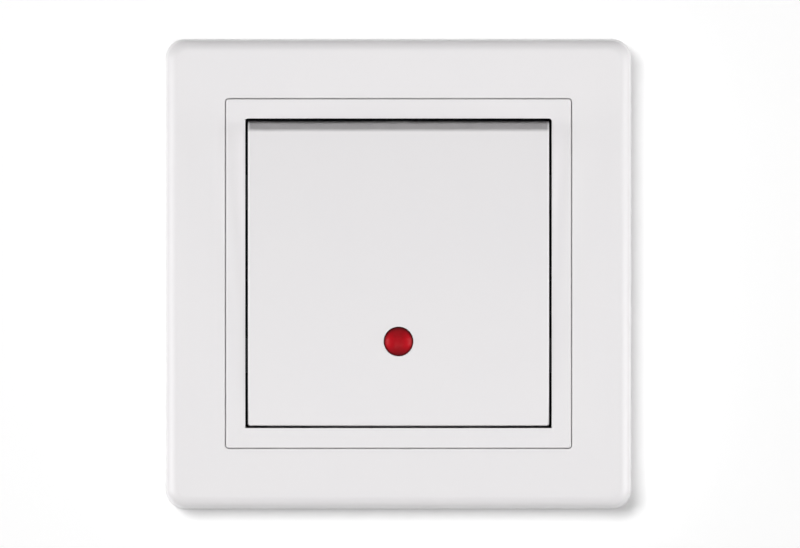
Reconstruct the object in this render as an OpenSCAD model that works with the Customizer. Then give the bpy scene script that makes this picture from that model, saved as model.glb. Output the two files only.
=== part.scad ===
// Flush one-gang rocker switch with indicator, drawn against its wall:
// x to the right, y up, z out of the wall, the wall itself at z = 0.
// Millimetres. Every piece is turned upright by hung() at the end.

/* [Cover frame] */
// overall width of the outer frame
frame_w = 80; // [78:0.1:84]
// overall height of the outer frame
frame_h = 80.7; // [78:0.1:84]
// how far the front face stands off the wall
frame_depth = 9.6; // [9.2:0.1:11]
// wall thickness of the frame shell
frame_wall = 2; // [1.4:0.1:2.6]
// corner radius of the outline at the wall
frame_corner_r = 3.4; // [2.6:0.1:5]
// rounding between the front face and the sides
frame_edge_r = 1.8; // [1:0.1:2.2]
// how far each side leans in between wall and front
frame_draft = 0.35; // [0.1:0.05:0.6]

/* [Centre ring] */
// outer width of the ring that clips over the mechanism
ring_w = 59.4; // [59:0.1:61]
// outer height of the ring
ring_h = 60; // [59.6:0.1:61]
// thickness of the ring's front flange
ring_flange = 1.8; // [1.4:0.1:2.2]
// thickness of the ring's side skirts
ring_skirt = 1.3; // [1:0.1:1.6]
// shadow gap between ring and frame
ring_gap = 0.15; // [0.05:0.05:0.4]
// how far the ring's inner border falls towards the rocker
ring_fall = 0.2; // [0.1:0.05:0.4]

/* [Rocker] */
// width of the rocker
rocker_w = 51.9; // [50:0.1:52.4]
// height of the rocker's front face
rocker_h = 51.1; // [49.4:0.1:51.6]
// height of the front face above the tilt axis
rocker_rise = 10.3; // [10:0.1:10.8]
// radius of the rocker's two rounded ends
end_r = 16.5; // [14:0.5:20]
// size of the eased edge between the front face and the two rounded ends
rocker_ease = 0.6; // [0.4:0.1:1.2]
// thickness of the rocker's shell
rocker_wall = 1.5; // [1.2:0.1:1.8]
// tilt to either side of the middle
rocker_tilt = 4.5; // [3.5:0.1:5]
// running gap round the rocker
rocker_gap = 0.35; // [0.25:0.05:0.5]
// distance of the tilt axis from the wall
pivot_z = 1; // [0.8:0.1:1.2]
// radius of the pins that the rocker tilts on
pin_r = 1.6; // [1.3:0.05:1.8]
// radial running clearance of pins, plunger and screws
running = 0.06; // [0.03:0.01:0.09]

/* [Indicator] */
// diameter of the round lens
lens_d = 5; // [4:0.1:6]
// how far below the rocker's middle the lens sits
lens_drop = 10.9; // [10:0.1:12]
// outer diameter of the lamp's glass
lamp_d = 4; // [3.4:0.1:4.4]

/* [Support plate] */
// room left between the plate's edge and the frame's wall
plate_room = 2.5; // [2:0.1:3.5]
// thickness of the steel plate
plate_t = 1.2; // [1:0.1:1.5]
// spacing of the box screws
box_pitch = 60; // [59:0.1:61]
// width of the box screw slots
slot_w = 3.5; // [3.2:0.1:4]
// length of the box screw slots, end to end
slot_l = 6; // [5:0.1:7]

/* [Base] */
// width of the base in the wall box
base_w = 40; // [39:0.1:41]
// height of the base in the wall box
base_h = 38; // [37:0.1:39]
// depth of the base behind the wall
base_deep = 24; // [23:0.1:25]
// wall thickness of the base
base_wall = 1.6; // [1.2:0.1:2]
// thickness of the base's floor
base_floor = 2; // [1.6:0.1:2.4]

/* [Contacts] */
// distance of the contact fulcrum behind the wall
fulcrum_deep = 14; // [13.6:0.1:14.4]
// tilt of the contact rocker to either side
contact_tilt = 10; // [8:0.5:11]
// half length of the contact rocker
contact_half = 9.4; // [9:0.1:9.6]
// distance of the contacts from the fulcrum
contact_at = 7.9; // [7:0.1:8.1]
// gap that is left between the closed contacts
contact_gap = 0.15; // [0.1:0.05:0.3]
// gap between plunger and contact rocker at rest
tip_gap = 0.3; // [0.3:0.05:0.5]
// radius of a wire entry
wire_r = 1.75; // [1.5:0.05:2]

/* [Claws] */
// distance of the claw screws from the base's side
claw_off = 4; // [3.8:0.1:4.3]
// lean of the claw ramps from straight forward
claw_lean = 28; // [24:1:30]
// travel of a claw nut along its screw
claw_rise = 6.5; // [5:0.5:7]
// thickness of the claws' sheet
claw_t = 1.2; // [1:0.1:1.4]

/* [Hidden] */
$fn = 48;

white_abs = [0.92, 0.92, 0.92];
pale_grey = [0.80, 0.80, 0.78];
dark_grey = [0.30, 0.31, 0.33];
steel_tint = [0.72, 0.73, 0.75];
brass_tint = [0.80, 0.65, 0.30];
silver_tint = [0.86, 0.86, 0.88];
red_tint = [0.70, 0.05, 0.10];
glass_tint = [0.85, 0.90, 0.92, 0.4];

front_z = frame_depth;
ledge_z = frame_depth - ring_flange;
end_z = 4.3;
end_y = rocker_h / 2 - sqrt(pow(end_r, 2) - pow(rocker_rise - end_z, 2));
sweep_r = norm([end_y, end_z]) + end_r;
clear_r = sweep_r + rocker_gap;
hole_w = rocker_w + 2 * rocker_gap;
hole_h = 2 * sqrt(pow(clear_r, 2) - pow(front_z - pivot_z, 2));
skirt_x = hole_w / 2 + ring_skirt;
ledge_x = skirt_x + 0.3;
ledge_y = clear_r + 0.5;
rim_z = plate_t + 0.2;
rim_t = 1.2;
recess_w = ring_w + 2 * ring_gap;
recess_h = ring_h + 2 * ring_gap;
ledge_t = 2;
ledge_rim = 1.5;
rib_half = 0.6;
rib_at = frame_w / 4;
rib_low = 3;
rib_h = frame_depth - frame_wall / 2 - rib_low;
rib_mid = rib_low + rib_h / 2;
key_half = 5;
key_top = ledge_z - ledge_t - 0.6;
skirt_half = hole_h / 2 - 1.5;
slit_half = 0.5;
slit_top = 4.6;
ring_corner = 0.5;
fall_w = 1.75;

cover_w = hole_w - 1.8;
cover_t = 1.8;
cover_z = plate_t;
cover_top = cover_z + cover_t;
window_x = 14.6;
window_y = 8.4;
collar_x = window_x + 1.8;
collar_y = window_y + 1;
collar_z = -5;
post_x = 11.9;
post_y = 3.2;
post_low = pivot_z - pin_r - 2;
clip_y = 14;
clip_half = 3;

plate_w = min(frame_w, frame_h) - 2 * frame_wall - 2 * plate_room;
plate_hole_x = 2 * (collar_x + 0.3);
plate_hole_y = 33;
plate_r = 4;
corner_hole = 2.2;
corner_in = 6.5;
corner_at = plate_w / 2 - corner_in;
bead_w = 1.6;
bead_l = 16;
bead_h = 0.5;
bead_at = plate_w / 2 - 2.5;
bead_off = 15;
base_r = 3;
boss_x = 13.8;
boss_y = 13.6;
boss_r = 2.2;
boss_bore = 1.05;
boss_deep = 9;
lip_t = 1.6;
lip_w = 1;
label_w = 20;
label_h = 12;
sink = 0.4;
fin_x = 5.6;
fin_t = 1.2;
fin_l = 8.6;
fin_top = -12.5;
fix_head_r = 2;
fix_head_h = 1.3;
fix_low = -6.5;
cross_w = 0.5;
cross_l = 2.2;
notch_half = 3.2;
floor_z = -base_deep + base_floor;
inner_x = base_w / 2 - base_wall;
inner_y = base_h / 2 - base_wall;

clamp_in = 10.5;
clamp_out = inner_y - 0.1;
clamp_half = 4;
clamp_top = -13.2;
wire_y = 13.2;
clamp_screw_z = -17.5;
clamp_screw_r = 1.45;
clamp_tip = wire_y + wire_r + 0.2;
clamp_head_r = 2.2;
clamp_head_h = 1.5;
clamp_hole_r = 2.5;
slot_cut = 0.7;
strip_t = 0.8;
strip_half = 3;

fulcrum_z = -fulcrum_deep;
ridge_r = 0.8;
groove_r = ridge_r + running;
blade_low = 0.5;
blade_top = 1.5;
blade_half = 3.2;
cheek_in = strip_half + 0.3;
cheek_out = cheek_in + 0.7;
cheek_half = 2.4;
cheek_low = -1.2;
rivet_r = 1.6;
dome_r = 3.2;
dome_h = dome_r - sqrt(pow(dome_r, 2) - pow(rivet_r, 2));
rivet_h = 0.8;
dome_c = blade_low - rivet_h - dome_h + dome_r;
shut_z = fulcrum_z - contact_at * sin(contact_tilt) + dome_c * cos(contact_tilt) - dome_r;
pad_y = -contact_at * cos(contact_tilt) - dome_c * sin(contact_tilt);
pad_z = shut_z - contact_gap;
pad_h = 0.9;
arm_z = pad_z - pad_h;

tip_r = 1.25;
stand = pivot_z - fulcrum_z;
reach = (stand * cos(contact_tilt) - blade_top - tip_r - tip_gap) / cos(contact_tilt + rocker_tilt);
plunger_r = 2.1;
tube_bore = plunger_r + running;
tube_r = 3.4;
tube_low = -7.6;
plunger_top = -3;
nose = 3.4;
deck_low = 2.4;
deck_top = 4.4;
deck_x = 11.2;
deck_y = 7.2;
cheek_x = 9.8;
pin_end = 15.4;
web_half = 0.6;
pin_web = 2.4;
spring_top = deck_top - 1;
spring_wire = 0.25;
spring_r = 1.55;
spring_turns = 5;
spring_len = spring_top - plunger_top - 0.1;

lens_r = lens_d / 2;
lens_cap = 0.55;
lens_foot = 1;
lens_lip = 0.8;
lens_play = 0.05;
under = rocker_rise - rocker_wall;
belly = 2.6;
belly_rise = 0.085;
rocker_corner = 0.6;
hook_at = 5.8;
hook_half = 1.4;
hook_t = 1.2;
hook_play = 0.2;
hook_low = deck_low - 0.8;
hook_lip = 0.6;
spine_h = 1.6;
spine_x = 16;
spine_end = 8;
spine_side = rocker_h / 2 - 3.4;
lamp_y = -12.4;
lamp_r = lamp_d / 2;
holder_r = lamp_r + 0.65;
lamp_low = -2.9;
lamp_shoulder = 5;
holder_floor = 1.1;
electrode_foot = 1.3;
electrode_h = 5;
lead_r = 0.3;
lead_play = 0.1;
lead_x = 0.7;
resistor_top = -6;
resistor_len = 5;
loop_x = -9;
loop_z = -7;
loop_end = -2.4;

ramp_foot = 3.5;
ramp_low = -base_deep + ramp_foot;
ramp_top = -7;
nut_half = 2.5;
ramp_in = nut_half + 0.4;
ramp_out = ramp_in + 2.2;
ramp_gap = 0.1;
foot_in = 3;
foot_low = -base_deep + foot_in;
foot_reach = 8.2;
foot_end = base_w / 2 + foot_reach;
tooth_end = foot_end + 0.8;
tooth_cut = 1.6;
tooth_at = 3.4;
foot_slot = 1.75;
tongue = 6;
claw_x = base_w / 2 + claw_off;
screw_r = 1.45;
nut_h = 2.2;
nut_gap = 0.1;
head_r = 2.4;
head_h = 1.9;
head_slot = 0.8;

function ramp_x(z, out) = base_w / 2 + (z - ramp_low) * tan(claw_lean) + out / cos(claw_lean);

module hung() {
    rotate([90, 0, 0]) children();
}

module rocked() {
    translate([0, 0, pivot_z]) rotate([rocker_tilt, 0, 0]) children();
}

module tipped() {
    translate([0, 0, fulcrum_z]) rotate([-contact_tilt, 0, 0]) children();
}

// a profile drawn in y and z, run along x
module along_x(len) {
    rotate([90, 0, 90]) linear_extrude(len, center = true) children();
}

// a profile drawn in x and z, run along y
module along_y(len) {
    rotate([90, 0, 0]) linear_extrude(len, center = true) children();
}

module box_at(x0, x1, y0, y1, z0, z1) {
    translate([x0, y0, z0]) cube([x1 - x0, y1 - y0, z1 - z0]);
}

module both_sides() {
    children();
    mirror([1, 0, 0]) children();
}

module round_rect(w, h, r) {
    square([w - 2 * r, h], center = true);
    square([w, h - 2 * r], center = true);
    for (x = [-1, 1])
        for (y = [-1, 1])
            translate([x * (w / 2 - r), y * (h / 2 - r)]) circle(r);
}

module slot_shape(len, wide) {
    square([len - wide, wide], center = true);
    for (x = [-1, 1])
        translate([x * (len - wide) / 2, 0]) circle(wide / 2);
}

// half of the frame's section: leaning side, rounded edge, flat front
function edge_pts(half) =
    let (
        a = atan(frame_draft / frame_depth),
        cz = frame_depth - frame_edge_r,
        cu = half - frame_draft * cz / frame_depth - frame_edge_r / cos(a)
    )
    concat([[half, 0]], [for (i = [0:8])
        let (t = a + (90 - a) * i / 8)
        [cu + frame_edge_r * cos(t), cz + frame_edge_r * sin(t)]]);

function mirrored(pts) = [for (i = [len(pts) - 1:-1:0]) [-pts[i][0], pts[i][1]]];

module soft_block() {
    section_x = edge_pts(frame_w / 2);
    section_y = edge_pts(frame_h / 2);
    corner = edge_pts(frame_corner_r);
    along_y(frame_h - 2 * frame_corner_r) polygon(concat(section_x, mirrored(section_x)));
    along_x(frame_w - 2 * frame_corner_r) polygon(concat(section_y, mirrored(section_y)));
    for (x = [-1, 1])
        for (y = [-1, 1])
            translate([x * (frame_w / 2 - frame_corner_r), y * (frame_h / 2 - frame_corner_r), 0])
                rotate_extrude() polygon(concat([[0, 0]], corner, [[0, frame_depth]]));
}

module cover_frame() {
    cavity_r = max(frame_corner_r - frame_wall, 0.8);
    hung() color(white_abs) difference() {
        union() {
            difference() {
                soft_block();
                translate([0, 0, -1]) linear_extrude(frame_depth - frame_wall + 1)
                    round_rect(frame_w - 2 * frame_wall, frame_h - 2 * frame_wall, cavity_r);
            }
            translate([0, 0, ledge_z - ledge_t]) linear_extrude(ledge_t + ring_flange / 2)
                square([recess_w + 2 * ledge_rim, recess_h + 2 * ledge_rim], center = true);
            translate([0, 0, rim_z]) linear_extrude(ledge_z - rim_z)
                square([2 * (ledge_x + rim_t), 2 * (ledge_y + rim_t)], center = true);
            for (s = [-rib_at, rib_at]) {
                translate([0, s, rib_mid]) cube([frame_w - frame_wall, 2 * rib_half, rib_h], center = true);
                translate([s, 0, rib_mid]) cube([2 * rib_half, frame_h - frame_wall, rib_h], center = true);
            }
        }
        translate([0, 0, ledge_z]) linear_extrude(ring_flange + 1)
            round_rect(recess_w, recess_h, ring_corner + ring_gap);
        translate([0, 0, -1]) linear_extrude(frame_depth) square([2 * ledge_x, 2 * ledge_y], center = true);
        for (a = [0, 90])
            rotate([0, 0, a]) cube([recess_h + 2 * ledge_rim, 2 * key_half, 2 * key_top], center = true);
    }
}

// the shallow fall of the ring's inner border, half of it cut on each side
module pit_section(half) {
    polygon([
        [-half, front_z - ring_fall],
        [half, front_z - ring_fall],
        [half + 2 * fall_w, front_z + ring_fall],
        [-half - 2 * fall_w, front_z + ring_fall]
    ]);
}

module centre_ring() {
    hung() color(white_abs) {
        difference() {
            translate([0, 0, ledge_z]) linear_extrude(ring_flange) round_rect(ring_w, ring_h, ring_corner);
            intersection() {
                cube([hole_w, 2 * ring_h, 4 * frame_depth], center = true);
                translate([0, 0, pivot_z]) rotate([0, 90, 0])
                    cylinder(2 * ring_w, clear_r, clear_r, center = true, $fn = 96);
            }
            intersection() {
                along_y(2 * ring_h) pit_section(hole_w / 2);
                along_x(2 * ring_w) pit_section(hole_h / 2);
            }
        }
        both_sides() difference() {
            union() {
                box_at(hole_w / 2, skirt_x, -skirt_half, skirt_half,
                    plate_t + 0.1, ledge_z + ring_flange / 4);
                for (y = [-clip_y, clip_y])
                    box_at(cover_w / 2 - 0.4, hole_w / 2 + 0.4, y - clip_half, y + clip_half,
                        plate_t + 0.15, plate_t + 0.65);
            }
            box_at(hole_w / 2 - 1, skirt_x + 1, -key_half, key_half, 0, key_top);
            for (y = [-clip_y, clip_y])
                for (s = [-1, 1])
                    translate([0, y + s * (clip_half + 2 * slit_half), 0])
                        box_at(hole_w / 2 - 1, skirt_x + 1, -slit_half, slit_half, 0, slit_top);
        }
    }
}

module support_plate() {
    hung() color(steel_tint) {
        linear_extrude(plate_t) difference() {
            round_rect(plate_w, plate_w, plate_r);
            round_rect(plate_hole_x, plate_hole_y, 0.8);
            for (a = [0, 90, 180, 270])
                rotate(a) translate([box_pitch / 2, 0]) slot_shape(slot_l, slot_w);
            for (x = [-1, 1])
                translate([x * claw_x, 0]) circle(screw_r + 0.3);
            for (x = [-1, 1])
                for (y = [-1, 1])
                    translate([x * corner_at, y * corner_at]) circle(corner_hole);
        }
        for (x = [-1, 1])
            for (y = [-1, 1]) {
                translate([x * bead_at, y * bead_off, plate_t])
                    cube([bead_w, bead_l, 2 * bead_h], center = true);
                translate([x * bead_off, y * bead_at, plate_t])
                    cube([bead_l, bead_w, 2 * bead_h], center = true);
            }
    }
}

module base_housing() {
    hung() color(dark_grey) difference() {
        union() {
            translate([0, 0, floor_z]) linear_extrude(-floor_z) round_rect(base_w, base_h, base_r);
            translate([0, 0, -lip_t]) linear_extrude(lip_t)
                round_rect(base_w + 2 * lip_w, base_h + 2 * lip_w, base_r + lip_w);
            both_sides() for (s = [-1, 1])
                translate([0, s * (ramp_in + ramp_out) / 2, 0]) along_y(ramp_out - ramp_in) polygon([
                    [base_w / 2 - 0.5, ramp_low],
                    [base_w / 2, ramp_low],
                    [ramp_x(ramp_top, 0), ramp_top],
                    [base_w / 2 - 0.5, ramp_top + 3]
                ]);
        }
        translate([0, 0, floor_z - 1]) linear_extrude(base_deep + 1)
            square([2 * inner_x, 2 * inner_y], center = true);
        for (s = [-1, 1])
            translate([0, s * inner_y, clamp_screw_z]) rotate([-90 * s, 0, 0])
                translate([0, 0, -0.5]) cylinder(base_wall + 1, clamp_hole_r, clamp_hole_r);
    }
}

module base_back() {
    hung() color(dark_grey) difference() {
        union() {
            translate([0, 0, -base_deep]) linear_extrude(base_floor) round_rect(base_w, base_h, base_r);
            for (s = [-1, 1])
                translate([s * boss_x, -s * boss_y, floor_z - 0.5])
                    cylinder(cover_z - floor_z + 0.5, boss_r, boss_r);
        }
        for (s = [-1, 1]) {
            translate([s * boss_x, -s * boss_y, -boss_deep])
                cylinder(boss_deep + 2 * cover_z, boss_bore, boss_bore);
            translate([0, s * wire_y, -base_deep - 1]) cylinder(base_floor + 2, wire_r + 0.3, wire_r + 0.3);
            translate([0, s * wire_y, -base_deep]) cylinder(0.9, wire_r + 1.2, wire_r + 0.3);
        }
        translate([0, 0, -base_deep]) linear_extrude(sink) round_rect(label_w, label_h, 1.5);
        both_sides() for (s = [-1, 1])
            translate([base_w / 2 - 3, s * base_h / 4, -base_deep])
                cube([0.8, base_h / 4, 2 * sink], center = true);
    }
}

module terminal_barriers() {
    hung() color(dark_grey) for (s = [-1, 1])
        for (x = [-1, 1])
            translate([x * fin_x, s * (inner_y - fin_l / 2), (floor_z + fin_top) / 2])
                cube([fin_t, fin_l, fin_top - floor_z], center = true);
}

module front_cover() {
    hung() color(pale_grey) difference() {
        union() {
            translate([0, 0, cover_z]) linear_extrude(cover_t) round_rect(cover_w, cover_w, 2);
            box_at(-collar_x, collar_x, -collar_y, collar_y, collar_z, cover_z + 0.5);
        }
        difference() {
            box_at(-window_x, window_x, -window_y, window_y, collar_z - 1, cover_top + 1);
            both_sides() box_at(post_x, window_x + 1, -post_y, post_y, post_low, cover_top + 2);
        }
        translate([0, 0, pivot_z]) rotate([0, 90, 0])
            cylinder(2 * (pin_end + 0.4), pin_r + running, pin_r + running, center = true);
        both_sides() box_at(post_x - 1, pin_end + 0.4, -pin_r + 0.25, pin_r - 0.25, pivot_z, cover_top + 1);
        both_sides() {
            box_at(claw_x - head_r - 0.6, cover_w, -notch_half, notch_half, 0, cover_top + 1);
            for (y = [-clip_y, clip_y])
                box_at(cover_w / 2 - 1.2, cover_w, y - clip_half - 1, y + clip_half + 1, 0, cover_z + 0.8);
        }
        translate([0, lamp_y, 0]) cylinder(2 * cover_top, holder_r + 0.05, holder_r + 0.05);
        for (s = [-1, 1])
            translate([s * boss_x, -s * boss_y, 0])
                cylinder(2 * cover_top, boss_bore + 0.15, boss_bore + 0.15);
    }
}

module housing_screws() {
    hung() color(steel_tint) for (s = [-1, 1])
        translate([s * boss_x, -s * boss_y, 0]) difference() {
            union() {
                translate([0, 0, fix_low])
                    cylinder(cover_top - fix_low + fix_head_h / 2, boss_bore - 0.05, boss_bore - 0.05);
                translate([0, 0, cover_top]) cylinder(fix_head_h, fix_head_r, fix_head_r);
            }
            for (a = [0, 90])
                rotate([0, 0, a]) translate([0, 0, cover_top + fix_head_h])
                    cube([cross_l, cross_w, fix_head_h], center = true);
        }
}

module line_terminal() {
    hung() color(brass_tint) {
        box_at(-strip_half, strip_half, -1.6, clamp_in, floor_z, floor_z + strip_t);
        box_at(-strip_half, strip_half, clamp_in - strip_t, clamp_in, floor_z, clamp_top - 0.8);
        box_at(-strip_half, strip_half, -0.6, 0.6, floor_z, fulcrum_z);
        translate([0, 0, fulcrum_z]) rotate([0, 90, 0])
            cylinder(2 * strip_half, ridge_r, ridge_r, center = true);
    }
}

module load_terminal() {
    hung() color(brass_tint) {
        box_at(-strip_half, strip_half, -clamp_in, strip_t - clamp_in, floor_z, arm_z);
        box_at(-strip_half, strip_half, -clamp_in, pad_y + rivet_r + 0.6, arm_z - strip_t, arm_z);
    }
}

module clamp_block(s) {
    color(brass_tint) difference() {
        box_at(-clamp_half, clamp_half, min(s * clamp_in, s * clamp_out), max(s * clamp_in, s * clamp_out),
            floor_z, clamp_top);
        translate([0, s * wire_y, floor_z - 1]) cylinder(clamp_top - floor_z - 0.2, wire_r, wire_r);
        translate([0, s * wire_y, clamp_screw_z]) rotate([-90 * s, 0, 0])
            cylinder(2 * (clamp_out - wire_y), clamp_screw_r + running, clamp_screw_r + running);
    }
}

module line_clamp() {
    hung() clamp_block(1);
}

module load_clamp() {
    hung() clamp_block(-1);
}

module terminal_screws() {
    hung() color(steel_tint) for (s = [-1, 1])
        translate([0, 0, clamp_screw_z]) rotate([-90 * s, 0, 0]) difference() {
            union() {
                translate([0, 0, clamp_tip])
                    cylinder(clamp_out - clamp_tip + 0.5, clamp_screw_r, clamp_screw_r);
                translate([0, 0, clamp_out]) cylinder(clamp_head_h, clamp_head_r, clamp_head_r);
            }
            translate([0, 0, clamp_out + clamp_head_h])
                cube([3 * clamp_head_r, slot_cut, clamp_head_h], center = true);
        }
}

module fixed_contact() {
    hung() color(silver_tint) translate([0, pad_y, arm_z]) cylinder(pad_h, 1.7, 1.7);
}

module lamp_holder() {
    hung() color(pale_grey) translate([0, lamp_y, 0]) difference() {
        union() {
            translate([0, 0, lamp_low - holder_floor])
                cylinder(cover_top - lamp_low + holder_floor + 0.3, holder_r, holder_r);
            translate([0, 0, cover_top]) cylinder(0.6, holder_r + 0.75, holder_r + 0.75);
        }
        translate([0, 0, lamp_low]) cylinder(lamp_shoulder - lamp_low, lamp_r + running, lamp_r + running);
        for (x = [-lead_x, lead_x])
            translate([x, 0, lamp_low - 2 * holder_floor])
                cylinder(4 * holder_floor, lead_r + lead_play, lead_r + lead_play);
    }
}

// outline of a round-ended tube, drawn from the axis outwards
function bulb_pts(r, low, shoulder) = concat([[0, low], [r, low]],
    [for (i = [0:8]) [r * cos(90 * i / 8), shoulder + r * sin(90 * i / 8)]]);

module neon_lamp() {
    hung() color(glass_tint) translate([0, lamp_y, 0]) difference() {
        rotate_extrude() polygon(bulb_pts(lamp_r, lamp_low, lamp_shoulder));
        rotate_extrude() polygon(bulb_pts(lamp_r - 0.5, lamp_low + 1.3, lamp_shoulder));
    }
}

module lamp_electrodes() {
    hung() color(steel_tint) for (x = [-lead_x, lead_x])
        translate([x, lamp_y, lamp_low + electrode_foot]) cylinder(electrode_h, lead_r, lead_r);
}

module resistor() {
    hung() color([0.78, 0.68, 0.50]) translate([lead_x, lamp_y, resistor_top - resistor_len]) {
        cylinder(resistor_len, 0.9, 0.9);
        for (z = [0, resistor_len - 1.2])
            translate([0, 0, z]) cylinder(1.2, 1.1, 1.1);
    }
}

module wire_run(pts, r) {
    for (i = [0:len(pts) - 2]) {
        d = pts[i + 1] - pts[i];
        translate(pts[i]) rotate([0, acos(d[2] / norm(d)), atan2(d[1], d[0])])
            cylinder(norm(d), r, r, $fn = 16);
    }
    for (i = [1:len(pts) - 2])
        translate(pts[i]) sphere(r, $fn = 16);
}

module lamp_leads() {
    hung() color(steel_tint) {
        translate([lead_x, lamp_y, resistor_top]) cylinder(lamp_low - resistor_top, lead_r, lead_r);
        translate([lead_x, lamp_y, clamp_top])
            cylinder(resistor_top - resistor_len - clamp_top, lead_r, lead_r);
        wire_run([
            [-lead_x, lamp_y, lamp_low],
            [-lead_x, lamp_y, loop_z],
            [loop_x, lamp_y, loop_z],
            [loop_x, -lamp_y, loop_z],
            [loop_end, -lamp_y, loop_z],
            [loop_end, -lamp_y, clamp_top]
        ], lead_r);
    }
}

module rocker_section(inset) {
    end = 2 * (end_y + end_r);
    intersection() {
        union() {
            for (s = [-1, 1])
                translate([s * end_y, end_z]) circle(end_r - inset, $fn = 180);
            translate([-end_y, 0]) square([2 * end_y, 2 * rocker_rise]);
        }
        polygon([[0, belly], [end, belly + belly_rise * end], [end, rocker_rise - inset],
            [-end, rocker_rise - inset], [-end, belly + belly_rise * end]]);
    }
}

// the outer section, eased where the flat face would meet the rounded ends
module eased_section() {
    end = 2 * (end_y + end_r);
    low = rocker_rise - rocker_ease - end_z;
    run = sqrt(pow(end_r - rocker_ease, 2) - pow(low, 2));
    turn = atan2(low, run);
    face_y = end_y + run;
    past_y = 2 * (end_y + end_r * cos(turn)) - face_y;
    past_z = 2 * (end_z + end_r * sin(turn)) - rocker_rise;
    intersection() {
        rocker_section(0);
        polygon([[face_y, rocker_rise], [past_y, past_z], [end, past_z], [end, 0],
            [-end, 0], [-end, past_z], [-past_y, past_z], [-face_y, rocker_rise]]);
    }
}

module rocker() {
    hung() color(white_abs) rocked() difference() {
        union() {
            difference() {
                intersection() {
                    along_x(rocker_w) eased_section();
                    linear_extrude(2 * rocker_rise) round_rect(rocker_w, 3 * sweep_r, rocker_corner);
                }
                along_x(rocker_w - 2 * rocker_wall) union() {
                    rocker_section(rocker_wall);
                    square([2 * (end_y + end_r) - 3 * rocker_wall, 3 * belly], center = true);
                }
            }
            for (s = [-1, 1])
                translate([0, s * deck_y * 0.7, (deck_top + under + rib_half) / 2])
                    cube([2 * (deck_x - rib_half), 2 * rib_half, under + rib_half - deck_top],
                        center = true);
            both_sides() for (s = [-1, 1]) {
                box_at(deck_x + hook_play, deck_x + hook_play + hook_t, s * hook_at - hook_half,
                    s * hook_at + hook_half, hook_low, under + rib_half);
                box_at(deck_x - hook_lip, deck_x + 2 * hook_play, s * hook_at - hook_half,
                    s * hook_at + hook_half, hook_low, hook_low + hook_lip);
            }
            for (s = [-1, 1])
                translate([0, s * (deck_y + spine_end + 1), under])
                    cube([2 * rib_half, 2 * spine_end, 2 * spine_h], center = true);
            both_sides() translate([spine_x, 0, under])
                cube([2 * rib_half, 2 * spine_side, 2 * spine_h], center = true);
            translate([0, -lens_drop, under - lens_foot - 0.4])
                cylinder(lens_foot + 0.9, lens_r + 2.5 * lens_lip, lens_r + 2.5 * lens_lip);
        }
        translate([0, -lens_drop, deck_top]) {
            cylinder(under - deck_top, lens_r + lens_lip + 0.1, lens_r + lens_lip + 0.1);
            cylinder(2 * rocker_rise, lens_r + lens_play, lens_r + lens_play);
        }
    }
}

module indicator_lens() {
    ball = (pow(lens_r, 2) + pow(lens_cap, 2)) / (2 * lens_cap);
    hung() color(red_tint) rocked() translate([0, -lens_drop, 0]) {
        translate([0, 0, under - lens_foot]) cylinder(lens_foot, lens_r + lens_lip, lens_r + lens_lip);
        intersection() {
            translate([0, 0, under - lens_foot]) cylinder(rocker_rise, lens_r, lens_r);
            translate([0, 0, rocker_rise + lens_cap - ball]) sphere(ball, $fn = 96);
        }
    }
}

module rocker_cradle() {
    hung() color(pale_grey) rocked() difference() {
        union() {
            box_at(-deck_x, deck_x, -deck_y, deck_y, deck_low, deck_top);
            translate([0, 0, tube_low]) cylinder(deck_low - tube_low + 0.5, tube_r, tube_r);
            both_sides() {
                box_at(cheek_x, deck_x, -post_y, post_y, -pin_web, deck_low + web_half);
                translate([cheek_x + web_half, 0, 0]) rotate([0, 90, 0])
                    cylinder(pin_end - cheek_x - web_half, pin_r, pin_r);
                box_at(tube_r - web_half, cheek_x + web_half, -web_half, web_half,
                    -pin_r, deck_low + web_half);
            }
        }
        translate([0, 0, tube_low - 1]) cylinder(spring_top - tube_low + 1, tube_bore, tube_bore);
    }
}

// points of one unbroken coil, its tube walked round six sides
function coil_ring(i, n) =
    let (
        a = 360 * spring_turns * i / n,
        z = spring_wire + (spring_len - 2 * spring_wire) * i / n,
        lean = atan((spring_len - 2 * spring_wire) / (2 * PI * spring_r * spring_turns))
    )
    [for (k = [0:5])
        let (
            t = 60 * k,
            out = spring_wire * cos(t),
            up = spring_wire * sin(t)
        )
        [
            (spring_r + out) * cos(a) + up * sin(lean) * sin(a),
            (spring_r + out) * sin(a) - up * sin(lean) * cos(a),
            z + up * cos(lean)
        ]];

module plunger_spring() {
    n = 8 * spring_turns;
    pts = [for (i = [0:n]) each coil_ring(i, n)];
    walls = [for (i = [0:n - 1]) for (k = [0:5])
        [6 * i + k, 6 * (i + 1) + k, 6 * (i + 1) + (k + 1) % 6, 6 * i + (k + 1) % 6]];
    hung() color(steel_tint) rocked() translate([0, 0, plunger_top + 0.05])
        polyhedron(pts, concat(walls, [[0, 1, 2, 3, 4, 5], [for (k = [5:-1:0]) 6 * n + k]]),
            convexity = 10);
}

echo(spring_self_gap = (spring_len - 2 * spring_wire) / spring_turns - 2 * spring_wire);

module plunger() {
    hung() color(dark_grey) rocked() {
        translate([0, 0, nose - reach]) cylinder(plunger_top - nose + reach, plunger_r, plunger_r);
        translate([0, 0, -reach]) cylinder(nose + tip_r / 2, tip_r, tip_r);
        translate([0, 0, -reach]) sphere(tip_r);
    }
}

module contact_rocker() {
    hung() color(brass_tint) tipped() difference() {
        union() {
            box_at(-blade_half, blade_half, -contact_half, contact_half, blade_low, blade_top);
            both_sides() box_at(blade_half / 2, cheek_out, -cheek_half, cheek_half, blade_low, blade_top);
            both_sides() box_at(cheek_in, cheek_out, -cheek_half, cheek_half, cheek_low, blade_top);
        }
        rotate([0, 90, 0]) cylinder(4 * cheek_out, groove_r, groove_r, center = true);
    }
}

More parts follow.
